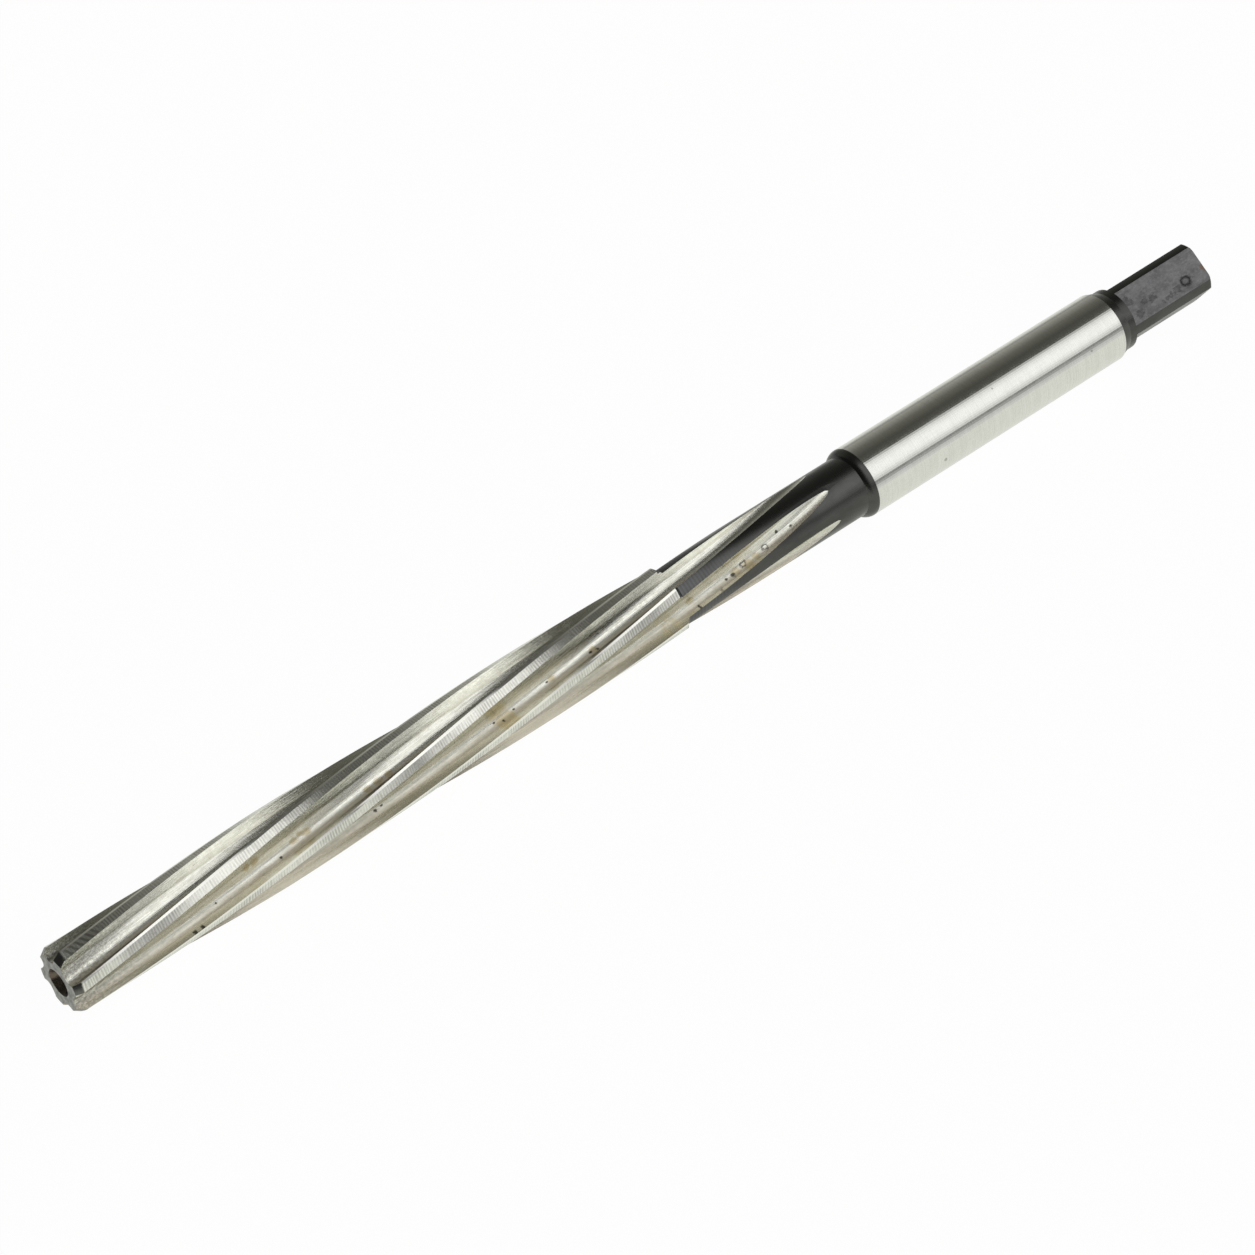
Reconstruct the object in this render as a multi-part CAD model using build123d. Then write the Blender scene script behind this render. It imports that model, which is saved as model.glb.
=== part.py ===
from build123d import *
import os
from math import cos, degrees, radians, sin, sqrt, tan

# A straight-shank hand reamer, turned and ground from one bar of high speed steel.
# It lies on the plane z = 0 with its axis along X, cutting end at -X, and the origin is under its middle.
# Sizes are in millimetres and angles in degrees. x is the distance from the cutting end along the axis.

# Whole tool
overall_length = 76.0
roll = -30.0              # angle of the first flat from upright, as the tool happens to lie

# Cutting part
cutting_diameter = 4.0
cutting_length = 38.0
tip_diameter = 3.64       # across the cutting edges where the tapered lead begins
lead_length = 12.5        # tapered lead, from the cutting end to the full diameter
bevel_length = 0.42       # bevel around the end face, along the axis
bevel_depth = 0.28
step_angle = 45.0         # slope of the step from the teeth down to the neck

# Teeth
tooth_count = 6
uneven_pitch = 0.9        # the teeth are spaced a little unevenly, so that they don't chatter
helix_length = 93.0       # one whole turn of the left-hand flutes
tooth_start = -23.9       # first cutting edge at the end face, measured from the first flat
margin_width = 0.13       # round land behind each cutting edge
primary_width = 0.42      # flat that falls away behind the margin, where the teeth are at full diameter
primary_clearance = 14.8
secondary_width = 0.56    # flat from there down into the flute
secondary_clearance = 76.1

# Flutes
flute_root_diameter = 2.4
flute_foot_radius = 0.43  # where the flute's floor turns up into the cutting face
flute_wheel_radius = 80.0
run_out_angle = 45.0      # the way in which the wheel lifts out of the neck, from the cutting face
flute_stations = 26       # places along a flute where its section is set out

# Neck and the shoulder that rises from it to the shank
neck_diameter = 3.45
neck_length = 12.7
plain_neck_length = 2.0   # left whole between the ends of the flutes and the shoulder
shoulder_length = 0.5

# Shank, the turned collar behind it and the square
shank_diameter = 4.0
shank_chamfer = 0.04
collar_length = 1.0
collar_taper = 0.55
square_width = 2.9
square_corner_diameter = 3.58
square_length = 5.75
square_end_round = 0.15

# Centre hole in each end
centre_mouth_diameter = 1.55
centre_pilot_diameter = 0.7
centre_cone_angle = 60.0
centre_depth = 1.6

# Places along the tool, and radii
shoulder_start = cutting_length + neck_length
shank_start = shoulder_start + shoulder_length
square_start = overall_length - square_length
shank_end = square_start - collar_length
flute_end = shoulder_start - plain_neck_length
cutting_radius = cutting_diameter / 2
neck_radius = neck_diameter / 2
shank_radius = shank_diameter / 2
corner_radius = square_corner_diameter / 2
root_radius = flute_root_diameter / 2
pitch_angle = 360 / tooth_count


def section_plane(x):
    """Plane across the tool at x, seen from the cutting end, with its first axis upright."""
    return Plane(origin=(x, 0, 0), x_dir=(0, 0, 1), z_dir=(-1, 0, 0))


def polar(radius, angle):
    """Point of a section, its angle measured from the first axis."""
    return Vector(radius * cos(radians(angle)), radius * sin(radians(angle)))


def edge_radius(x):
    """Radius of the cutting edges at x, which grows along the tapered lead."""
    taper = (cutting_diameter - tip_diameter) / 2 / lead_length
    return min(cutting_radius, tip_diameter / 2 + taper * x)


def tooth_angle(tooth, x):
    """Angle of a tooth's cutting edge at x. Opposite teeth stay opposite."""
    uneven = uneven_pitch * sin(radians(2 * pitch_angle * tooth))
    return roll + tooth_start + tooth * pitch_angle + uneven + 360 * x / helix_length


def turned_blank():
    """The bar as turned, before the flutes, the flats and the centre holes are cut."""
    step_length = (cutting_radius - neck_radius) / tan(radians(step_angle))
    with BuildLine() as outline:
        Polyline(
            (shoulder_start, neck_radius),
            (cutting_length + step_length, neck_radius),
            (cutting_length, cutting_radius),
            (lead_length, cutting_radius),
            (bevel_length, edge_radius(bevel_length)),
            (0, edge_radius(bevel_length) - bevel_depth),
            (0, 0),
            (overall_length, 0),
            (overall_length, corner_radius - square_end_round),
        )
        TangentArc(
            (overall_length, corner_radius - square_end_round),
            (overall_length - square_end_round, corner_radius),
            tangent=(0, 1),
        )
        Polyline(
            (overall_length - square_end_round, corner_radius),
            (shank_end + collar_taper, corner_radius),
            (shank_end, shank_radius - shank_chamfer),
            (shank_end - shank_chamfer, shank_radius),
            (shank_start, shank_radius),
        )
        TangentArc((shank_start, shank_radius), (shoulder_start, neck_radius), tangent=(-1, 0))
    return revolve(make_face(outline.edges()), Axis.X)


def flute_section(tooth, x):
    """What is taken out at x between one tooth's cutting edge and the next tooth's margin."""
    outside = cutting_diameter

    # the cutting face runs straight out from the arc at its foot, and the floor leaves the arc's other end
    clear = root_radius + flute_foot_radius
    foot_centre = Vector(sqrt(clear**2 - flute_foot_radius**2), flute_foot_radius)
    rake_foot = Vector(foot_centre.X, 0)
    foot_middle = foot_centre - polar(flute_foot_radius, 45)
    floor_start = foot_centre - Vector(flute_foot_radius, 0)

    # the secondary is ground parallel to the axis, so it stays where full-size teeth have it
    gap = tooth_angle(tooth + 1, 0) - tooth_angle(tooth, 0) - degrees(margin_width / cutting_radius)
    away = polar(1, gap - 90 - primary_clearance)
    fall = polar(1, gap - 90 - secondary_clearance)
    secondary_top = polar(cutting_radius, gap) + away * primary_width
    heel = secondary_top + fall * secondary_width

    # the primary comes down to it from the margin, which follows the tapered lead
    # the cutter reaches out past the margin's back, so that it crosses the turned surface cleanly
    margin_back = polar(edge_radius(x), gap)
    over_margin = margin_back - away * margin_width / 2
    across = polar(1, gap - secondary_clearance)
    primary_heel = margin_back + away * ((secondary_top - margin_back).dot(across) / away.dot(across))

    # the wheel lifts out of the neck along an arc of its own radius
    run_out = polar(1, run_out_angle)
    sideways = polar(1, run_out_angle + 90)
    clear = neck_radius + flute_foot_radius
    last_lift = sqrt(clear**2 - foot_centre.dot(sideways) ** 2) - foot_centre.dot(run_out)
    lift_start = flute_end - sqrt(2 * flute_wheel_radius * last_lift)
    lift = max(0, x - lift_start) ** 2 / (2 * flute_wheel_radius)
    outline = [
        Line(rake_foot, (outside, 0)),
        Line((outside, 0), polar(outside, gap)),
        Line(polar(outside, gap), over_margin),
        Line(over_margin, primary_heel),
        Line(primary_heel, heel),
        TangentArc(floor_start, heel, tangent=(0, 1)),
        ThreePointArc(floor_start, foot_middle, rake_foot),
    ]
    face = Pos(run_out * lift) * make_face(outline)
    return section_plane(x) * Rot(Z=tooth_angle(tooth, x)) * face


def flute_cut(tooth):
    """Everything taken out between two teeth, from in front of the end face to past the run-out."""
    start = -bevel_length
    end = (flute_end + shoulder_start) / 2
    step = (end - start) / flute_stations
    return loft([flute_section(tooth, start + step * station) for station in range(flute_stations + 1)])


def flat_cut(side):
    """What is milled off one side of the square."""
    block = Box(
        square_corner_diameter,
        square_corner_diameter,
        2 * square_length,
        align=(Align.MIN, Align.CENTER, Align.MAX),
    )
    return section_plane(square_start) * Rot(Z=roll + 90 * side) * Pos(square_width / 2, 0, 0) * block


def centre_hole():
    """Countersunk hole in the cutting end, as a centre drill leaves it."""
    mouth_radius = centre_mouth_diameter / 2
    pilot_radius = centre_pilot_diameter / 2
    cone_length = (mouth_radius - pilot_radius) / tan(radians(centre_cone_angle / 2))
    outline = Polyline(
        (0, 0),
        (0, mouth_radius),
        (cone_length, pilot_radius),
        (centre_depth, pilot_radius),
        (centre_depth, 0),
        close=True,
    )
    return revolve(make_face(outline), Axis.X)


def reamer():
    """The finished tool, laid down so that it touches z = 0."""
    flutes = [flute_cut(tooth) for tooth in range(tooth_count)]
    flats = [flat_cut(side) for side in range(4)]
    front_hole = centre_hole()
    rear_hole = Pos(overall_length, 0, 0) * mirror(front_hole, Plane.YZ)
    tool = turned_blank() - (flutes + flats + [front_hole, rear_hole])
    return Pos(-overall_length / 2, 0, max(cutting_radius, shank_radius)) * tool


os.makedirs("parts", exist_ok=True)
export_step(reamer(), "parts/reamer.step")
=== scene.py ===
from math import acos, asin, cos, pi, radians, sin, sqrt, tan

import bpy
from mathutils import Matrix, Vector


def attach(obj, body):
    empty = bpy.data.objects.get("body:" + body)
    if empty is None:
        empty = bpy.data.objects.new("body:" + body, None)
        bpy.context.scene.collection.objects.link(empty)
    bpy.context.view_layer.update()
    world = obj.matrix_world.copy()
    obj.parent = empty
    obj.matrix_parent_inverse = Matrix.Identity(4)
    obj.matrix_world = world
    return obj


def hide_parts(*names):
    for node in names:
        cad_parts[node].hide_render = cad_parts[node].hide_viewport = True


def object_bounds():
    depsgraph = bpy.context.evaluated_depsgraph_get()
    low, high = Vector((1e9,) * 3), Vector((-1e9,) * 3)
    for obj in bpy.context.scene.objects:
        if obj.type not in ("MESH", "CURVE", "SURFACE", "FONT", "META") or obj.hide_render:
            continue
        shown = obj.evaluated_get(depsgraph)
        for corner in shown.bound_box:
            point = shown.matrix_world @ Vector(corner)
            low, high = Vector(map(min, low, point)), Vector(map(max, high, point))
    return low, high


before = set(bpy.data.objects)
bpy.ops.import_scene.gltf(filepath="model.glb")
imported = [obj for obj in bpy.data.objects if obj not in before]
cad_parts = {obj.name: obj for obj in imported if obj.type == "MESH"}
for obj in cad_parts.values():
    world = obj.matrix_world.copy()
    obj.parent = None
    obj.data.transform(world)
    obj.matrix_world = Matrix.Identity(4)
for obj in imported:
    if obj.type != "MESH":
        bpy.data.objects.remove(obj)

cad_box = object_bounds()
mm = 0.001

# The reamer is one bar of high speed steel. This is its outline as it was turned, before it was fluted and
# milled, from the centre hole in the cutting end to the one in the square end. Each stretch of it keeps
# one finish. x is measured from the cutting end and the second number is the radius.
overall_length = cad_box[1][0] - cad_box[0][0]
cutting_radius = 2.0 * mm
cutting_length = 38.0 * mm
tip_radius = 1.82 * mm
lead_length = 12.5 * mm
bevel_length = 0.42 * mm
bevel_depth = 0.28 * mm
neck_radius = 1.725 * mm
neck_length = 12.7 * mm
plain_neck_length = 2.0 * mm
shoulder_length = 0.5 * mm
shank_radius = 2.0 * mm
shank_chamfer = 0.04 * mm
collar_length = 1.0 * mm
collar_taper = 0.55 * mm
corner_radius = 1.79 * mm
square_length = 5.75 * mm
square_end_round = 0.15 * mm
hole_mouth_radius = 0.775 * mm
hole_pilot_radius = 0.35 * mm
hole_depth = 1.6 * mm
hole_cone_angle = radians(60)
hole_cone_length = (hole_mouth_radius - hole_pilot_radius) / tan(hole_cone_angle / 2)

# the step down to the neck slopes at 45 degrees, and the two halves of the mesh meet at the joint
step_length = cutting_radius - neck_radius
shoulder_start = cutting_length + neck_length
flute_end = shoulder_start - plain_neck_length
joint = flute_end + 0.6 * plain_neck_length
shank_start = shoulder_start + shoulder_length
square_start = overall_length - square_length
shank_end = square_start - collar_length
edge_taper = (cutting_radius - tip_radius) / lead_length
bevel_radius = tip_radius + edge_taper * bevel_length

HOLE, END_FACE, TEETH, NECK, SHANK, RIM, COLLAR, SQUARE = range(8)


def straight(start, end, rows=1):
    """Points of the outline from start to end, both included."""
    return [tuple(a + (b - a) * row / rows for a, b in zip(start, end)) for row in range(rows + 1)]


def arc(centre, radius, first, last, rows):
    """Points of the outline on an arc, between two angles in degrees."""
    angles = [radians(first + (last - first) * row / rows) for row in range(rows + 1)]
    return [(centre[0] + radius * cos(angle), centre[1] + radius * sin(angle)) for angle in angles]


def outline_object(name, stretches):
    """The outline as a row of points. The third number of a point says what the stretch is."""
    points = [(x, radius, kind) for kind, stretch in stretches for x, radius in stretch]
    mesh = bpy.data.meshes.new(name)
    mesh.from_pydata(points, [], [])
    return bpy.data.objects.new(name, mesh)


def hole_stretches(end, inwards):
    """A centre hole from its bottom to its mouth, in the end face at end."""
    bottom = end + inwards * hole_depth
    cone = end + inwards * hole_cone_length
    return [
        (HOLE, straight((bottom, 0), (bottom, hole_pilot_radius))),
        (HOLE, straight((bottom, hole_pilot_radius), (cone, hole_pilot_radius))),
        (HOLE, straight((cone, hole_pilot_radius), (end, hole_mouth_radius))),
    ]


shoulder_rise = shank_radius - neck_radius
shoulder_radius = (shoulder_length**2 + shoulder_rise**2) / (2 * shoulder_rise)
shoulder_sweep = asin(shoulder_length / shoulder_radius) * 180 / pi
shoulder_centre = (shank_start, shank_radius - shoulder_radius)
step_end = cutting_length + step_length
collar_end = shank_end + collar_taper
rounding_start = overall_length - square_end_round
rounding_centre = (rounding_start, corner_radius - square_end_round)
front = outline_object("front outline", hole_stretches(0, 1) + [
    (END_FACE, straight((0, hole_mouth_radius), (0, bevel_radius - bevel_depth), rows=3)),
    (TEETH, straight((0, bevel_radius - bevel_depth), (bevel_length, bevel_radius), rows=7)),
    (TEETH, straight((bevel_length, bevel_radius), (lead_length, cutting_radius), rows=49)),
    (TEETH, straight((lead_length, cutting_radius), (cutting_length, cutting_radius), rows=102)),
    (NECK, straight((cutting_length, cutting_radius), (step_end, neck_radius), rows=9)),
    (NECK, straight((step_end, neck_radius), (flute_end, neck_radius), rows=70)),
    (NECK, straight((flute_end, neck_radius), (joint, neck_radius), rows=4)),
])
rear = outline_object("rear outline", [
    (NECK, straight((joint, neck_radius), (shoulder_start, neck_radius), rows=2)),
    (NECK, arc(shoulder_centre, shoulder_radius, 90 + shoulder_sweep, 90, rows=10)),
    (SHANK, straight((shank_start, shank_radius), (shank_end - shank_chamfer, shank_radius), rows=8)),
    (RIM, straight((shank_end - shank_chamfer, shank_radius), (shank_end, shank_radius - shank_chamfer))),
    (COLLAR, straight((shank_end, shank_radius - shank_chamfer), (collar_end, corner_radius), rows=3)),
    (COLLAR, straight((collar_end, corner_radius), (square_start, corner_radius))),
    (SQUARE, straight((square_start, corner_radius), (rounding_start, corner_radius), rows=4)),
    (SQUARE, arc(rounding_centre, square_end_round, 90, 0, rows=10)),
    (SQUARE, straight((overall_length, rounding_centre[1]), (overall_length, hole_mouth_radius), rows=4)),
] + [(kind, stretch[::-1]) for kind, stretch in hole_stretches(overall_length, -1)[::-1]])


class Wire:
    """A node's output. Arithmetic on it adds Math nodes to the same tree."""

    def __init__(self, tree, socket):
        self.tree = tree
        self.socket = socket

    def math(self, operation, *others):
        return node(self.tree, "ShaderNodeMath", {"operation": operation}, dict(enumerate((self, *others))))

    def __add__(self, other):
        return self.math("ADD", other)

    def __radd__(self, other):
        return self.math("ADD", other)

    def __sub__(self, other):
        return self.math("SUBTRACT", other)

    def __rsub__(self, other):
        return node(self.tree, "ShaderNodeMath", {"operation": "SUBTRACT"}, {0: other, 1: self})

    def __mul__(self, other):
        return self.math("MULTIPLY", other)

    def __rmul__(self, other):
        return self.math("MULTIPLY", other)

    def __truediv__(self, other):
        return self.math("DIVIDE", other)

    def __pow__(self, other):
        return self.math("POWER", other)

    def __gt__(self, other):
        return self.math("GREATER_THAN", other)

    def __lt__(self, other):
        return self.math("LESS_THAN", other)

    def output(self, name):
        return Wire(self.tree, self.socket.node.outputs[name])


def node(tree, kind, settings=None, sockets=None, output=0):
    """Adds a node: its settings first, then the value or wire of each socket."""
    made = tree.nodes.new(kind)
    for name, value in (settings or {}).items():
        if name == "stops":
            fill_ramp(made.color_ramp, value)
        else:
            setattr(made, name, value)
    for name, value in (sockets or {}).items():
        if isinstance(value, Wire):
            tree.links.new(made.inputs[name], value.socket)
        else:
            made.inputs[name].default_value = value
    return Wire(tree, made.outputs[output])


def fill_ramp(ramp, stops):
    """Sets a colour ramp's stops: (place, grey) or (place, colour)."""
    while len(ramp.elements) < len(stops):
        ramp.elements.new(1)
    for element, (place, colour) in zip(ramp.elements, stops):
        element.position = place
        element.color = (*colour, 1) if isinstance(colour, tuple) else (colour, colour, colour, 1)


def sine(angle):
    return angle.math("SINE") if isinstance(angle, Wire) else sin(angle)


def cosine(angle):
    return angle.math("COSINE") if isinstance(angle, Wire) else cos(angle)


def root(value):
    return value.math("SQRT")


def smaller(first, second):
    return first.math("MINIMUM", second)


def larger(first, second):
    return first.math("MAXIMUM", second)


def whole(value):
    return value.math("FLOOR")


def share(value, start, end):
    """How far value is from start to end, kept between 0 and 1."""
    return smaller(larger((value - start) / (end - start), 0), 1)


def polar(radius, angle):
    return [radius * cosine(angle), radius * sine(angle)]


def moved(point, direction, distance=1):
    return [start + step * distance for start, step in zip(point, direction)]


def dot(first, second):
    return first[0] * second[0] + first[1] * second[1]


def length(point):
    return root(dot(point, point))


def angle_of(point):
    return point[1].math("ARCTAN2", point[0])


def either(condition, first, second):
    return condition * first + (1 - condition) * second


# The flutes, the teeth and the square: what the grinding wheels and the milling cutter left of the
# turned bar. Every point of the surface is the turned outline, or lies further in where a wheel cut.
tooth_count = 6
pitch_angle = 2 * pi / tooth_count
uneven_pitch = radians(0.9)
helix_length = 93.0 * mm
roll = radians(-30)
tooth_start = radians(-23.9)
margin_width = 0.13 * mm
primary_width = 0.42 * mm
primary_clearance = radians(14.8)
secondary_width = 0.56 * mm
secondary_clearance = radians(76.1)
root_radius = 1.2 * mm
foot_radius = 0.43 * mm
flute_wheel_radius = 80 * mm
run_out_angle = radians(45)
square_width = 2.9 * mm

margin_angle = margin_width / cutting_radius
foot_centre = [sqrt((root_radius + foot_radius) ** 2 - foot_radius**2), foot_radius]
floor_start = [foot_centre[0] - foot_radius, foot_radius]
run_out = polar(1, run_out_angle)
sideways = polar(1, run_out_angle + pi / 2)
clear_of_neck = neck_radius + foot_radius
last_lift = sqrt(clear_of_neck**2 - dot(foot_centre, sideways) ** 2) - dot(foot_centre, run_out)
lift_start = flute_end - sqrt(2 * flute_wheel_radius * last_lift)

# how far across a flute its floor reaches, which only the finishes use
floor_length = 0.41 * mm

# columns of points round one flute: down the cutting face, round its foot, along the floor, then up the
# secondary, the primary and the margin
rake_end = 1
foot_end = rake_end + 9
floor_end = foot_end + 6
secondary_end = floor_end + 5
primary_end = secondary_end + 15
margin_end = primary_end + 5
tooth_columns = margin_end - secondary_end
ring_columns = tooth_count * tooth_columns
side_columns = ring_columns // 4
corner_columns = 8
flat_columns = side_columns - corner_columns
flat_half_angle = acos(square_width / 2 / corner_radius)

# columns that the rings behind the flutes are turned by, so that they run straight on from the teeth
ring_shift = 14

# edges that turn more than the first stay sharp, points nearer than the second are welded, and the third
# is as good as nothing
sharp_edge = radians(11.5)
weld_distance = 0.0005 * mm
hair = 0.00001 * mm

tree = bpy.data.node_groups.new("turned, fluted and milled bar", "GeometryNodeTree")
tree.interface.new_socket("Geometry", in_out="OUTPUT", socket_type="NodeSocketGeometry")
inputs = {
    "Front outline": ("NodeSocketObject", front),
    "Rear outline": ("NodeSocketObject", rear),
    "Helix length": ("NodeSocketFloat", helix_length),
    "Primary width": ("NodeSocketFloat", primary_width),
    "Secondary width": ("NodeSocketFloat", secondary_width),
    "Run-out wheel radius": ("NodeSocketFloat", flute_wheel_radius),
    "Square width": ("NodeSocketFloat", square_width),
}
identifiers = {
    name: tree.interface.new_socket(name, in_out="INPUT", socket_type=kind).identifier
    for name, (kind, value) in inputs.items()
}
group_input = tree.nodes.new("NodeGroupInput")


def given(name):
    return Wire(tree, group_input.outputs[name])


def outline_row(outline, columns):
    """The row and column of each point of a grid, and the outline's x, radius and kind at its row."""
    index = node(tree, "GeometryNodeInputIndex")
    row = whole((index + 0.5) / columns)
    source = node(tree, "GeometryNodeObjectInfo", sockets={"Object": outline}, output="Geometry")
    position = node(tree, "GeometryNodeInputPosition")
    sampled = node(tree, "GeometryNodeSampleIndex", {"data_type": "FLOAT_VECTOR"},
                   {"Geometry": source, "Value": position, "Index": row})
    parts = node(tree, "ShaderNodeSeparateXYZ", sockets={0: sampled})
    return index - row * columns, parts, parts.output("Y"), parts.output("Z")


def ring_angle(column):
    """Angle of a column behind the flutes, where the columns are lined up with the square."""
    shifted = column + ring_shift
    side = whole((shifted + 0.5) / side_columns)
    place = shifted - side * side_columns
    across_flat = share(place, 0, flat_columns) * (2 * flat_half_angle)
    across_corner = share(place, flat_columns, side_columns) * (pi / 2 - 2 * flat_half_angle)
    return across_flat + across_corner + side * (pi / 2) + (roll - flat_half_angle + pi)


def grid(rows, columns):
    return node(tree, "GeometryNodeMeshGrid", sockets={"Vertices X": rows, "Vertices Y": columns})


def placed(mesh, x, radius, angle):
    """Moves the points of a grid to their place on the bar, which lies on z = 0 over the origin."""
    place = node(tree, "ShaderNodeCombineXYZ", sockets={
        "X": x - overall_length / 2,
        "Y": radius * sine(angle),
        "Z": radius * cosine(angle) + cutting_radius,
    })
    return node(tree, "GeometryNodeSetPosition", sockets={"Geometry": mesh, "Position": place})


def stored(mesh, name, kind, domain, value):
    """Stores what each point has, averaged over its face or copied to its corners."""
    at_points = node(tree, "GeometryNodeFieldOnDomain", {"data_type": "FLOAT_VECTOR", "domain": "POINT"},
                     {0: value})
    return node(tree, "GeometryNodeStoreNamedAttribute", {"data_type": kind, "domain": domain},
                {"Geometry": mesh, "Name": name, "Value": at_points})


def vector(x, y, z=0):
    return node(tree, "ShaderNodeCombineXYZ", sockets={"X": x, "Y": y, "Z": z})


# fluted front, from the hole in the cutting end to just past the ends of the flutes
front_columns = tooth_count * (margin_end + 1)
column, x, turned_radius, kind = outline_row(given("Front outline"), front_columns)
tooth = whole((column + 0.5) / (margin_end + 1))
place = column - tooth * (margin_end + 1)
edge_radius = smaller(x * edge_taper + tip_radius, cutting_radius)

# section across a flute, with the cutting face on its first axis: the places where the round foot, the
# arc of the floor, the secondary, the primary and the margin of the next tooth meet
to_next_tooth = sine((tooth + 1) * (2 * pitch_angle)) - sine(tooth * (2 * pitch_angle))
sector = to_next_tooth * uneven_pitch + pitch_angle
gap = sector - margin_angle
away = polar(1, gap - (pi / 2 + primary_clearance))
fall = polar(1, gap - (pi / 2 + secondary_clearance))
secondary_top = moved(polar(cutting_radius, gap), away, given("Primary width"))
heel = moved(secondary_top, fall, given("Secondary width"))
margin_back = polar(edge_radius, gap)
to_secondary = dot(moved(secondary_top, margin_back, -1), polar(1, gap - secondary_clearance))
primary_heel = moved(margin_back, away, to_secondary / sin(secondary_clearance - primary_clearance))
rise = moved(heel, floor_start, -1)
floor_radius = dot(rise, rise) / (rise[0] * 2)
floor_sweep = (rise[1] / floor_radius).math("ARCSINE")

# how far along each of these stretches the point is, and the point itself
down_rake = share(place, 0, rake_end)
foot_turn = (1 - share(place, rake_end, foot_end)) * (pi / 2)
along_floor = share(place, foot_end, floor_end)
up_secondary = share(place, floor_end, secondary_end)
up_primary = share(place, secondary_end, primary_end)
over_margin = share(place, primary_end, margin_end)
path = moved(foot_centre, polar(-foot_radius, foot_turn))
path = moved(path, [edge_radius - foot_centre[0], 0], 1 - down_rake)
path = moved(path, [floor_radius - floor_radius * cosine(along_floor * floor_sweep),
                    floor_radius * sine(along_floor * floor_sweep)])
path = moved(path, moved(primary_heel, heel, -1), up_secondary)
path = moved(path, moved(margin_back, primary_heel, -1), up_primary)
path = moved(path, moved(polar(edge_radius, gap + over_margin * margin_angle), margin_back, -1))

# in the neck the wheel lifts out, so the flute meets the turned surface nearer and nearer to its middle
lift = smaller(larger(x - lift_start, 0) ** 2 / (2 * given("Run-out wheel radius")), last_lift)
groove = moved(path, run_out, lift)
lifted_foot = moved(foot_centre, run_out, lift)
lifted_floor = moved(floor_start, run_out, lift)
lifted_heel = moved(heel, run_out, lift)


def half_chord(centre, arc_radius):
    """Half of the angle between the two points where a circle about centre meets the turned surface."""
    distance = length(centre)
    cosine_of_it = (distance * distance + turned_radius * turned_radius - arc_radius * arc_radius) / (
        distance * turned_radius * 2)
    return smaller(cosine_of_it, 1).math("ARCCOSINE")


def secondary_meets(start):
    """Angle at which the secondary, drawn from start, meets the turned surface."""
    along = dot(start, fall)
    reach = along + root(larger(along * along - dot(start, start) + turned_radius * turned_radius, 0))
    return angle_of(moved(start, fall, 0 - reach))


foot_angle = angle_of(lifted_foot)
foot_half = half_chord(lifted_foot, foot_radius)
floor_centre = moved(lifted_floor, [floor_radius, 0])
lifted_rake = [lifted_foot[0], lift * run_out[1]]
rake_side = either(length(lifted_rake) < turned_radius,
                   (lifted_rake[1] / turned_radius).math("ARCSINE"), foot_angle - foot_half)
heel_side = either(length(lifted_floor) < turned_radius,
                   angle_of(floor_centre) + half_chord(floor_centre, floor_radius), foot_angle + foot_half)
heel_side = either(length(lifted_heel) < turned_radius, secondary_meets(lifted_heel), heel_side)
first_heel_side = secondary_meets(heel)
is_covered = length(groove) > turned_radius - hair
is_land = place > secondary_end - 0.5
groove_angle = either(is_covered, either(foot_turn > foot_angle, rake_side, heel_side), angle_of(groove))
groove_radius = either(is_covered, turned_radius, length(groove))
land_angle = heel_side + ((angle_of(path) - first_heel_side) * (sector + rake_side - heel_side)
                          / (sector - first_heel_side))
land_radius = smaller(turned_radius, length(path))
in_neck = kind > NECK - 0.5
angle = either(in_neck, either(is_land, land_angle, groove_angle), angle_of(path))
radius = either(in_neck, either(is_land, land_radius, groove_radius), land_radius)
edge_angle = (tooth * pitch_angle + sine(tooth * (2 * pitch_angle)) * uneven_pitch
              + x / given("Helix length") * (2 * pi) + (roll + tooth_start))
ring_column = tooth * tooth_columns + larger(place - secondary_end, 0)
to_ring = share(x, flute_end, joint)
angle = either(to_ring, ring_angle(ring_column), edge_angle + angle)
across = (down_rake * (cutting_radius - foot_centre[0]) + (pi / 2 - foot_turn) * foot_radius
          + along_floor * floor_length + up_secondary * secondary_width + up_primary * primary_width
          + over_margin * margin_width)

# the finish of each face: a face has the average of its points, so a flute's faces lie half a column in
FLUTE = 10
front_mesh = grid(len(front.data.vertices), front_columns)
front_mesh = stored(front_mesh, "making", "FLOAT_VECTOR", "FACE", vector(kind, place, x))
front_mesh = stored(front_mesh, "surface", "FLOAT_VECTOR", "CORNER", vector(x / mm, across / mm, tooth))
front_mesh = placed(front_mesh, x, radius, angle)
making = node(tree, "GeometryNodeInputNamedAttribute", {"data_type": "FLOAT_VECTOR"}, {"Name": "making"})
making = node(tree, "ShaderNodeSeparateXYZ", sockets={0: making})
face_kind, face_place, face_x = making, making.output("Y"), making.output("Z")
in_flute = ((face_kind > TEETH - 0.5) * (face_kind < TEETH + 0.5) * (face_place < secondary_end)
            + (face_kind > NECK - 0.5) * (face_place < secondary_end - 1) * (face_x < flute_end))
front_mesh = node(tree, "GeometryNodeStoreNamedAttribute", {"data_type": "FLOAT", "domain": "FACE"},
                  {"Geometry": front_mesh, "Name": "zone", "Value": either(in_flute, FLUTE, face_kind)})

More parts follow.
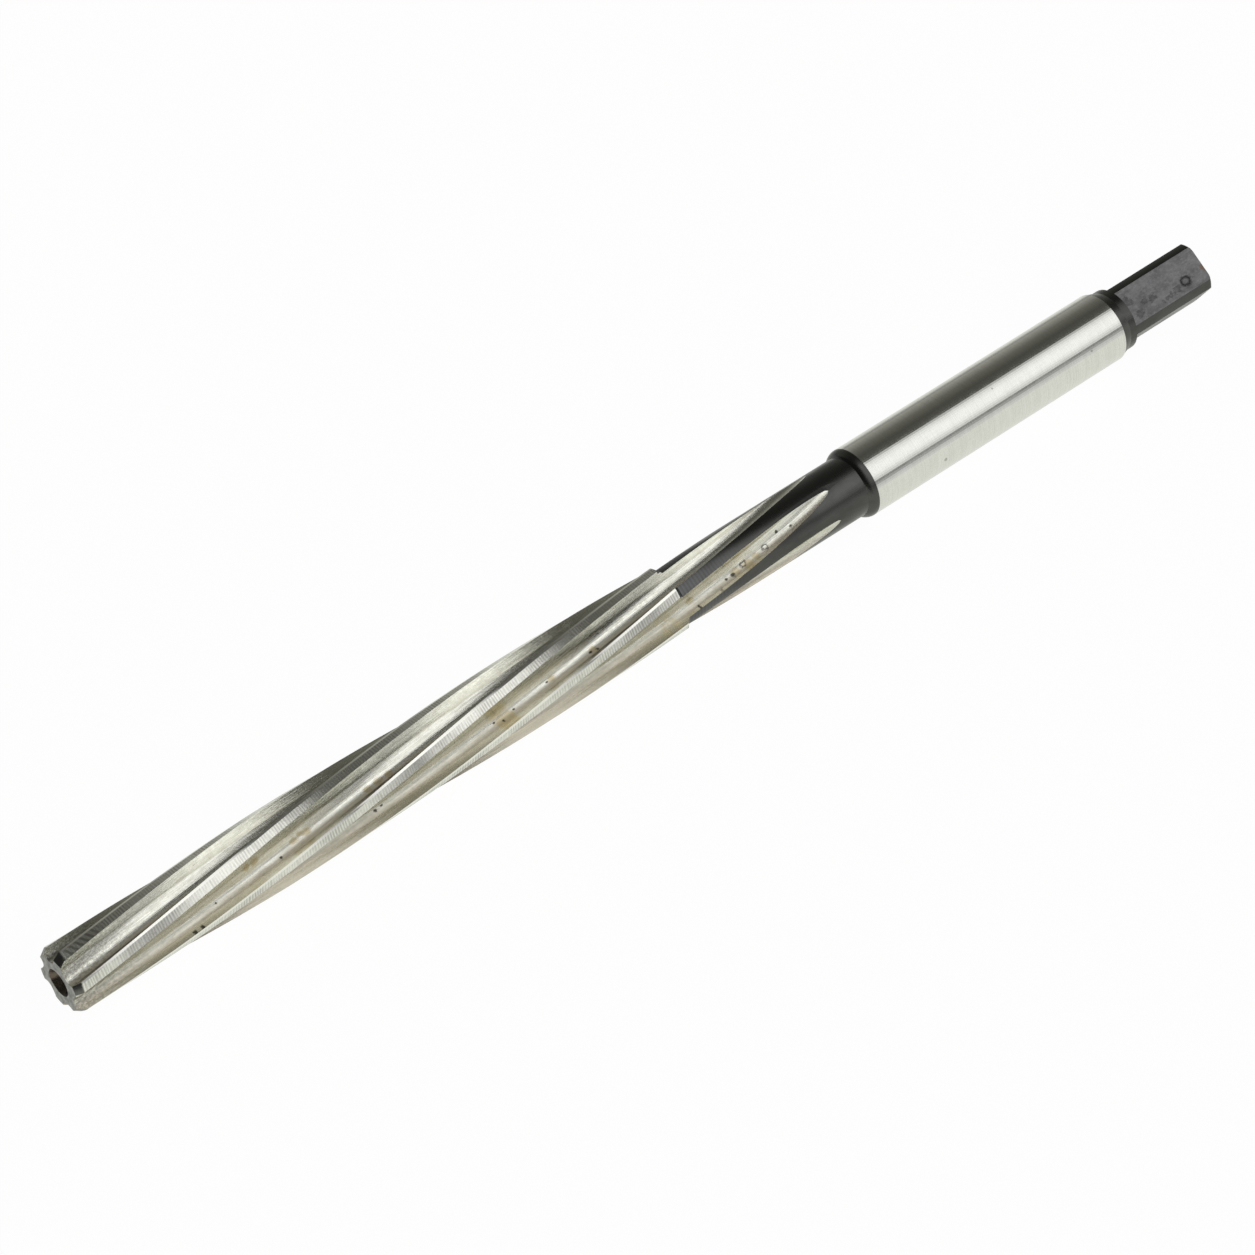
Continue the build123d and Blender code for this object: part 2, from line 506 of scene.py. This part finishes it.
# plain rear, from just behind the flutes to the hole in the square end
column, x, turned_radius, kind = outline_row(given("Rear outline"), ring_columns + 1)
angle = ring_angle(column)
from_flat = (angle - (roll - pi / 4)).math("FLOORED_MODULO", pi / 2) - pi / 4
flat_radius = given("Square width") / 2 / cosine(from_flat)
is_milled = kind > SQUARE - 0.5
radius = smaller(turned_radius, flat_radius + (1 - is_milled) * cutting_radius)
FLAT = 11
rear_mesh = grid(len(rear.data.vertices), ring_columns + 1)
rear_mesh = stored(rear_mesh, "making", "FLOAT_VECTOR", "FACE",
                   vector(kind, from_flat, turned_radius - radius))
rear_mesh = stored(rear_mesh, "surface", "FLOAT_VECTOR", "CORNER",
                   vector(x / mm, angle * (shank_radius / mm)))
rear_mesh = placed(rear_mesh, x, radius, angle)
making = node(tree, "GeometryNodeInputNamedAttribute", {"data_type": "FLOAT_VECTOR"}, {"Name": "making"})
making = node(tree, "ShaderNodeSeparateXYZ", sockets={0: making})
face_kind, face_turn, face_depth = making, making.output("Y"), making.output("Z")
# the wall in front of a flat has one edge on the collar, so its kind is half way to the square's
on_flat = ((face_kind > COLLAR + 0.25) * (face_turn.math("ABSOLUTE") < flat_half_angle)
           * (face_depth > 10 * hair))
rear_mesh = node(tree, "GeometryNodeStoreNamedAttribute", {"data_type": "FLOAT", "domain": "FACE"},
                 {"Geometry": rear_mesh, "Name": "zone", "Value": either(on_flat, FLAT, face_kind)})

joined = tree.nodes.new("GeometryNodeJoinGeometry")
for half in (rear_mesh, front_mesh):
    tree.links.new(joined.inputs[0], half.socket)
welded = node(tree, "GeometryNodeMergeByDistance",
              sockets={"Geometry": Wire(tree, joined.outputs[0]), "Distance": weld_distance})
edge_turn = node(tree, "GeometryNodeInputMeshEdgeAngle")
shaded = node(tree, "GeometryNodeSetShadeSmooth", {"domain": "EDGE"},
              {"Geometry": welded, "Selection": edge_turn > sharp_edge, "Shade Smooth": False})
result = node(tree, "GeometryNodeRealizeInstances", sockets={"Geometry": shaded})
zone = node(tree, "GeometryNodeInputNamedAttribute", {"data_type": "FLOAT"}, {"Name": "zone"})

materials = {}
for name, kinds in {
    "ground lands": (TEETH,),
    "ground flutes": (FLUTE,),
    "ground end": (END_FACE,),
    "centre hole": (HOLE,),
    "black oxide": (NECK, COLLAR, SQUARE),
    "milled flats": (FLAT,),
    "ground shank": (SHANK, RIM),
}.items():
    material = bpy.data.materials.new(name)
    material.use_nodes = True
    materials[name] = material
    selection = 0
    for kind in kinds:
        selection = (zone > kind - 0.5) * (zone < kind + 0.5) + selection
    result = node(tree, "GeometryNodeSetMaterial", sockets={"Geometry": result, "Selection": selection,
                                                            "Material": material})
group_output = tree.nodes.new("NodeGroupOutput")
tree.links.new(group_output.inputs[0], result.socket)

carrier = bpy.data.objects.new("carrier", bpy.data.meshes.new("carrier"))
bpy.context.scene.collection.objects.link(carrier)
modifier = carrier.modifiers.new("shape", "NODES")
modifier.node_group = tree
for name, (kind, value) in inputs.items():
    modifier[identifiers[name]] = value
made = bpy.data.meshes.new_from_object(carrier.evaluated_get(bpy.context.evaluated_depsgraph_get()))
for scrap in (carrier, front, rear):
    bpy.data.objects.remove(scrap)
reamer = bpy.data.objects.new("reamer_body", made)
bpy.context.scene.collection.objects.link(reamer)
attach(reamer, "root")
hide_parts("reamer")


def stretched(pattern, x, y, z=1):
    return node(pattern.tree, "ShaderNodeVectorMath", {"operation": "MULTIPLY"}, {0: pattern, 1: (x, y, z)})


def noise(pattern, detail=3, roughness=0.6):
    settings = {"Vector": pattern, "Scale": 1, "Detail": detail, "Roughness": roughness}
    return node(pattern.tree, "ShaderNodeTexNoise", sockets=settings)


def blend(factor, first, second):
    """Mixes two colours, the first one where the factor is 0."""
    first, second = [colour if isinstance(colour, Wire) else (*colour, 1) for colour in (first, second)]
    return node(factor.tree, "ShaderNodeMix", {"data_type": "RGBA"}, {0: factor, 6: first, 7: second}, 2)


def bumped(height, depth):
    """The normal of a surface with this height, 0 to 1, over a depth in metres."""
    return node(height.tree, "ShaderNodeBump", sockets={"Height": height, "Strength": 1, "Distance": depth},
                output="Normal")


def made_of(name, **sockets):
    """Sets the finish's shader: constants on its own sockets, and what varies from its wires."""
    shader_tree = materials[name].node_tree
    shader = shader_tree.nodes["Principled BSDF"]
    for socket, value in sockets.items():
        place = shader.inputs[socket.replace("_", " ").title()]
        if isinstance(value, Wire):
            shader_tree.links.new(place, value.socket)
        else:
            place.default_value = value


def pattern_of(name):
    """Where a point is: its x in mm, the mm across its flute or round the bar, and its tooth's number.

    The second wire is that x by itself, and its outputs Y and Z are the other two.
    """
    surface = {"attribute_name": "surface"}
    pattern = node(materials[name].node_tree, "ShaderNodeAttribute", surface, output="Vector")
    return pattern, node(pattern.tree, "ShaderNodeSeparateXYZ", sockets={0: pattern})


def place_of(name):
    """Where a point is on the tool, in metres."""
    return node(materials[name].node_tree, "ShaderNodeTexCoord", output="Object")


def turn_of(name):
    """Angle of a point round the bar in degrees, from the top and towards +Y."""
    place = place_of(name)
    parts = node(place.tree, "ShaderNodeSeparateXYZ", sockets={0: place})
    return parts.output("Y").math("ARCTAN2", parts.output("Z") - cutting_radius) * (180 / pi)


def marks(x, turn, wobble, spots, hollow=0):
    """1 on each mark and 0 elsewhere. A mark is its x in mm, its angle in degrees and its radius in mm.

    With hollow 1 only its rim is left, and wobble makes its outline uneven.
    """
    found = 0
    for place, angle, size in spots:
        round_the_bar = (turn - angle) * radians(shank_radius / mm)
        away = root((x - place) ** 2 + round_the_bar**2) + (wobble - 0.5) * (2.4 * size)
        outside = share(away, 0.6 * size, size)
        inside = 1 - share(away, 0.3 * size, 0.6 * size)
        found = 1 - outside + found - hollow * inside
    return larger(smaller(found, 1), 0)


# Lands: the primary of each tooth, ground across with a fine wheel, and the smoother round margin beside
# it, which is painted near white as a highlight along the cutting edge.
# The wheel left close lines across the primary. One land was touched up by hand near the tip, so it has
# coarser slanting lines there.
pattern, x = pattern_of("ground lands")
across = x.output("Y")
tooth = x.output("Z")
line_spacing = 0.165
bar_spacing = 0.34
margin_start = 2.47
lines = sine(x * (2 * pi / line_spacing) + noise(stretched(pattern, 2, 0.4, 3)) * 9) * 0.5 + 0.5
patches = share(noise(stretched(pattern, 0.55, 0.7, 5.3)), 0.4, 0.62)
scuffs = share(noise(stretched(pattern, 8, 2, 4), 5, 0.7), 0.45, 0.62)
bars = share(sine((x + across * 0.6) * (2 * pi / bar_spacing)), -0.2, 0.6)
hand_ground = (tooth < 0.5) * share(x, 0.5, 0.7) * (1 - share(x, 2.2, 3.2))
colour = blend(lines * (patches * 0.46 + 0.16), (0.9, 0.9, 0.83), (0.31, 0.305, 0.285))
colour = blend(scuffs * 0.3, colour, (0.5, 0.49, 0.44))
colour = blend(bars * hand_ground * 0.5, colour, (0.12, 0.12, 0.1))
# painted shade: the bevel at the tip is painted dark, for the dark that it mirrors
colour = blend(1 - share(x, 0.38, 0.44), colour, (0.16, 0.16, 0.15))
margin = share(across, margin_start, margin_start + 0.03) * share(x, 0.5, 0.6)
# painted highlight: the margin is painted near white along the cutting edge
colour = blend(margin * 0.8, colour, (1, 1, 0.93))
made_of("ground lands", base_color=colour, metallic=0.92, roughness=0.2 + patches * 0.12 - margin * 0.12,
        normal=bumped((lines * 0.6 + scuffs) * (1 - margin), 0.0015 * mm))

# Flutes: ground lengthwise and left as they came, so they are streaky. A highlight is painted as a bright
# strip along each floor, with painted shade where the cutting face meets the foot and in a thin line where
# the floor meets the secondary. Low on the near side the floor and the secondary are painted lighter and
# the cutting faces a darker brown, and higher up the cutting faces are painted nearly black: painted light
# and shade. Stains, pits and ringed spots of rust show how the tool was kept and handled.
pattern, x = pattern_of("ground flutes")
across = x.output("Y")
turn = turn_of("ground flutes")
flute_width = 2.1
# across each flute: the steel's tone, a painted highlight as a bright strip over the floor, painted shade
# where the cutting face meets the foot, and a thin painted shade line at the edge of the secondary
bands = node(pattern.tree, "ShaderNodeValToRGB", {"stops": [
    (0.0, (0.8, 0.78, 0.68)), (0.2, (0.66, 0.62, 0.51)), (0.24, (0.62, 0.56, 0.45)),
    (0.34, (0.8, 0.74, 0.62)), (0.42, (1, 1, 0.92)), (0.69, (1, 1, 0.92)),
    (0.73, (0.72, 0.71, 0.59)), (0.78, (0.9, 0.9, 0.77)), (1.0, (1, 1, 0.88))]},
    {0: across / flute_width + (noise(stretched(pattern, 0.6, 1, 2.7)) - 0.5) * 0.1})
in_foot = share(across, 0.42, 0.55) * (1 - share(across, 0.75, 1.0))
streaks = share(noise(stretched(pattern, 0.28, 9, 7.3), 5, 0.72), 0.42, 0.58)
mottle = share(noise(stretched(pattern, 1.5, 2.6, 6.1), 6, 0.75), 0.45, 0.6)
grain = noise(stretched(pattern, 5.5, 7, 4), 5, 0.8)
speckle = share(grain, 0.4, 0.62)
painted_rake_shade = (1 - share(across, 0.46, 0.58)) * share(turn, -54, -42)
low = share(turn, -66, -84)
painted_low_face_shade = low * (1 - share(across, 0.34, 0.5))
tip_wear = (1 - share(x, 0.8, 4.5)) * share(grain, 0.42, 0.56)
# painted light: low on the near side the floor and the secondary are painted lighter
colour = blend(low * share(across, 0.5, 0.7) * 0.6, bands, (1, 1, 0.88))
# painted shade: low on the near side the cutting faces are painted a darker brown
colour = blend(painted_low_face_shade * 0.6, colour, (0.4, 0.355, 0.27))
colour = blend(streaks * 0.3, colour, (0.42, 0.41, 0.32))
colour = blend(mottle * 0.2, colour, (0.44, 0.42, 0.33))
colour = blend(speckle * 0.22, colour, (0.4, 0.39, 0.3))
colour = blend(tip_wear * 0.6, colour, (0.2, 0.19, 0.16))
# painted shade: higher up the bar the cutting face and the start of the foot are painted nearly black
colour = blend(painted_rake_shade * 0.9, colour, (0.03, 0.028, 0.022))
stains = marks(x, turn, grain, [
    (10.6, -39, 0.28), (11.1, -38, 0.3), (13.5, -46, 0.3), (14.3, -43, 0.34), (13.9, -39, 0.22),
    (18.2, -35, 0.3), (18.9, -33, 0.34), (19.6, -31, 0.3), (26.3, -65, 0.46), (26.8, -63, 0.4),
    (29.8, -46, 0.3), (32.6, -39, 0.3), (41.9, -62, 0.36), (42.7, -61, 0.4), (43.3, -56, 0.3),
    (38.8, -66, 0.35)])
colour = blend(stains * 0.6, colour, (0.5, 0.395, 0.18))
cream = marks(x, turn, grain, [(37.2, -93, 0.6)], 1)
colour = blend(cream * 0.7, colour, (0.6, 0.52, 0.33))
rings = marks(x, turn, grain, [(42.45, -57, 0.27), (43.95, -49.5, 0.26), (29.6, 20, 0.22)], 1)
pits = marks(x, turn, grain, [
    (8.5, -74, 0.09), (41.65, -66, 0.16), (40.65, -80, 0.16), (41.2, -68, 0.1), (44.95, -35, 0.13),
    (45.85, -39.5, 0.11), (43.1, -68, 0.1), (16.4, -95, 0.12), (18.2, -96, 0.13), (18.6, -93, 0.1),
    (25.9, -63, 0.1), (27.2, -60, 0.09), (26.4, -68, 0.08), (27.0, -112, 0.14), (29.5, -47, 0.1),
    (32.4, -42, 0.12), (32.8, -43, 0.1), (39.1, -84, 0.1), (12.5, -62, 0.1), (36.3, -44, 0.1)])
nicks = marks(x, turn, grain, [(6.8, -88, 0.12), (7.25, -87, 0.11)])
nicks = nicks * (1 - share(across, 0.24, 0.36))
colour = blend(larger(larger(rings, pits), nicks) * 0.92, colour, (0.04, 0.035, 0.027))
made_of("ground flutes", base_color=colour, metallic=0.95 - in_foot * 0.4,
        roughness=0.13 + mottle * 0.1 + streaks * 0.06 + in_foot * 0.2,
        normal=bumped(streaks * 0.8 + speckle * 0.6 + mottle * 0.5 - pits, 0.0026 * mm))

# End face: ground flat across the bar and left dull, with fine specks. The centre holes were drilled to
# hold the bar while it was ground; their insides are painted dark brown to black, a painted shade in the
# holes.
place = place_of("ground end")
specks = share(noise(stretched(place, 2600, 2600, 2600), 4, 0.7), 0.42, 0.64)
colour = blend(specks, (0.4, 0.4, 0.385), (0.22, 0.22, 0.21))
made_of("ground end", base_color=colour, metallic=0.9, roughness=0.42 + specks * 0.1,
        normal=bumped(specks, 0.006 * mm))
place = place_of("centre hole")
painted_hole_shade = share(noise(stretched(place, 1500, 1500, 1500), 3), 0.4, 0.62)
# painted shade: the inside of each centre hole is painted dark brown to black
colour = blend(painted_hole_shade, (0.16, 0.13, 0.10), (0.03, 0.024, 0.02))
made_of("centre hole", base_color=colour, metallic=0.9, roughness=0.24 + painted_hole_shade * 0.2,
        normal=bumped(painted_hole_shade, 0.01 * mm))

# Black coat of the neck, the collar and the corners of the square: turned, hardened and left black.
# Fine turned rings show in it, and it is a little blue and thinner beside the step.
x = pattern_of("black oxide")[1]
place = place_of("black oxide")
turned = noise(stretched(place, 14000, 500, 500), 3, 0.6)
cloud = share(noise(stretched(place, 420, 900, 900), 4, 0.65), 0.4, 0.64)
ring_spacing = 0.22
rings = sine(x * (2 * pi / ring_spacing)) * 0.5 + 0.5
near_step = (1 - share(x, 39.5, 42.5)) * share(x, 37.9, 38.3)
colour = blend(cloud * 0.6, (0.102, 0.102, 0.098), (0.068, 0.068, 0.065))
colour = blend(near_step * (0.2 + rings * 0.5), colour, (0.14, 0.144, 0.148))
made_of("black oxide", base_color=colour, metallic=1, roughness=0.2 + cloud * 0.08 + turned * 0.1,
        normal=bumped(turned + cloud * 0.4, 0.003 * mm))

# Flats of the square: milled, hardened and blackened. A wrench has scuffed them grey since and scraped
# them, one has a round dent, and the end's corner is a little brown.
x = pattern_of("milled flats")[1]
turn = turn_of("milled flats")
place = place_of("milled flats")
cloud = share(noise(stretched(place, 700, 1500, 1500), 5, 0.68), 0.4, 0.64)
grain = noise(stretched(place, 4200, 6500, 6500), 4, 0.7)
dents = marks(x, turn, 0.5 + (grain - 0.5) * 0.3, [(74.5, -46, 0.46)], 1)
scrapes = marks(x, turn, grain, [
    (73.2, -55, 0.17), (72.9, -56, 0.13), (72.6, -57, 0.13), (73.3, -51, 0.12), (73.7, -52, 0.3),
    (70.9, -53, 0.3), (72.1, -40, 0.32), (71.6, -35, 0.24), (70.7, -20, 0.3), (70.6, -12, 0.22)], 0.5)
worn = marks(x, turn, grain, [(76.0, -41, 0.3)])
colour = blend(cloud * 0.7, (0.168, 0.166, 0.17), (0.105, 0.104, 0.106))
colour = blend(share(grain, 0.48, 0.62) * 0.4, colour, (0.25, 0.24, 0.235))
colour = blend(scrapes * 0.5, colour, (0.04, 0.038, 0.036))
colour = blend(dents * 0.9, colour, (0.012, 0.012, 0.012))
colour = blend(worn * 0.6, colour, (0.16, 0.1, 0.06))
made_of("milled flats", base_color=colour, metallic=1, roughness=0.33 + cloud * 0.1,
        normal=bumped(cloud * 0.5 + grain - dents - scrapes * 0.5, 0.006 * mm))

# Shank: ground to size while the bar turned between centres, so its faint lines run round it. It is
# almost a mirror, with a few light scuffs.
pattern, x = pattern_of("ground shank")
turn = turn_of("ground shank")
rings = noise(stretched(pattern, 16, 0.25), 4, 0.7)
blotches = share(noise(stretched(pattern, 1.3, 0.9), 5, 0.68), 0.4, 0.66)
grain = noise(stretched(pattern, 9, 7), 4, 0.7)
scuffs = marks(x, turn, grain, [(55.9, -85, 0.13), (66.8, -58, 0.08), (60.2, -25, 0.07)])
colour = blend(share(rings, 0.42, 0.62) * 0.24, (0.85, 0.85, 0.81), (0.56, 0.56, 0.51))
colour = blend(blotches * 0.14, colour, (0.58, 0.57, 0.51))
colour = blend(share(grain, 0.45, 0.62) * 0.14, colour, (0.5, 0.5, 0.45))
colour = blend(scuffs * 0.6, colour, (0.25, 0.24, 0.22))
made_of("ground shank", base_color=colour, metallic=1, roughness=0.11 + blotches * 0.05,
        normal=bumped(rings + grain * 0.3, 0.0012 * mm))

# The studio: a pale table, a long softbox above the camera's side of it and a dim room behind. The
# softbox reaches a little further back over the tip. Steel mirrors the table dim behind the tool and
# ahead of its tip.
half_table = 2
corners = [(-half_table, -half_table), (half_table, -half_table), (half_table, half_table),
           (-half_table, half_table)]
floor_mesh = bpy.data.meshes.new("floor")
floor_mesh.from_pydata([(*corner, 0) for corner in corners], [], [(0, 1, 2, 3)])
floor = bpy.data.objects.new("floor", floor_mesh)
bpy.context.scene.collection.objects.link(floor)
floor_paint = bpy.data.materials.new("pale table")
floor_paint.use_nodes = True
floor_mesh.materials.append(floor_paint)
paint = floor_paint.node_tree
paint.nodes.clear()
is_camera = node(paint, "ShaderNodeLightPath", output="Is Camera Ray")
place = node(paint, "ShaderNodeTexCoord", output="Object")
table_x = node(paint, "ShaderNodeSeparateXYZ", sockets={0: place})
lit = share(table_x, -0.06, -0.045) * (1 - share(table_x.output("Y"), 0.006, 0.03) * 0.75)
matt = node(paint, "ShaderNodeBsdfDiffuse", sockets={"Color": (0.8, 0.8, 0.8, 1)})
white = node(paint, "ShaderNodeEmission", sockets={"Color": (1, 1, 1, 1), "Strength": 1.02})
grey = node(paint, "ShaderNodeEmission", sockets={"Color": blend(lit, (0.1, 0.1, 0.1), (0.82, 0.83, 0.78)),
                                                  "Strength": 1.0})
is_seen = larger(is_camera, is_camera.output("Is Glossy Ray"))
seen = node(paint, "ShaderNodeMixShader", sockets={0: is_camera, 1: grey, 2: white})
mixed = node(paint, "ShaderNodeMixShader", sockets={0: is_seen * 0.95, 1: matt, 2: seen})
output = paint.nodes.new("ShaderNodeOutputMaterial")
paint.links.new(output.inputs["Surface"], mixed.socket)

world = bpy.data.worlds.new("studio")
bpy.context.scene.world = world
world.use_nodes = True
studio = world.node_tree
studio.nodes.clear()
direction = node(studio, "ShaderNodeTexCoord", output="Generated")
parts = node(studio, "ShaderNodeSeparateXYZ", sockets={0: direction})
over_tip = share(parts, 0.47, 0.4)

# a direction's place on the arch of light, from 0 low on the near side to 1 low on the far side
place = parts.output("Y").math("ARCTAN2", parts.output("Z")) / pi + 0.5
place = place - over_tip * share(place, 0.4, 0.46) * (1 - share(place, 0.7, 0.8)) * 0.045
level = node(studio, "ShaderNodeValToRGB", {"stops": [
    (0.0, 0.72), (0.06, 0.6), (0.11, 0.2), (0.125, 0.2), (0.14, 0.65), (0.2, 0.9), (0.25, 1.1), (0.36, 1.1),
    (0.44, 0.9), (0.485, 0.6), (0.505, (0.09, 0.09, 0.081)), (0.64, (0.07, 0.07, 0.061)),
    (0.8, (0.14, 0.14, 0.125)), (1.0, (0.36, 0.36, 0.33))]},
    {0: place})
ahead = share(parts, -0.42, -0.52)
level = blend(ahead, level, (0.05, 0.05, 0.05))
is_camera = node(studio, "ShaderNodeLightPath", output="Is Camera Ray")
sky = node(studio, "ShaderNodeBackground", sockets={"Color": level, "Strength": 1.0})
plain = node(studio, "ShaderNodeBackground", sockets={"Color": (1, 1, 1, 1), "Strength": 1.0})
mixed = node(studio, "ShaderNodeMixShader", sockets={0: is_camera, 1: sky, 2: plain})
output = studio.nodes.new("ShaderNodeOutputWorld")
studio.links.new(output.inputs["Surface"], mixed.socket)

# The camera stands off the cutting end, on the near side, and looks down at the tool. Its place, its
# directions and its lens were fitted to the outline of a tool of this size.
camera_data = bpy.data.cameras.new("camera")
camera = bpy.data.objects.new("camera", camera_data)
bpy.context.scene.collection.objects.link(camera)
bpy.context.scene.camera = camera
picture_width = 1255
focal_length_in_pixels = 4552
camera_data.sensor_width = 36
camera_data.lens = camera_data.sensor_width * focal_length_in_pixels / picture_width
camera_data.clip_start = 0.01
backwards = Vector((-0.4332, -0.5112, 0.7423)).normalized()
rightwards = Vector((0.7629, -0.6465, 0)).normalized()
upwards = backwards.cross(rightwards)
tip = Vector((-overall_length / 2, 0, cutting_radius))
from_tip = Vector((-65.2, -118.92, 172.5)) * mm
turned_to = Matrix((rightwards, upwards, backwards)).transposed().to_4x4()
camera.matrix_world = Matrix.Translation(from_tip + tip) @ turned_to

bpy.context.scene.view_settings.view_transform = "Standard"
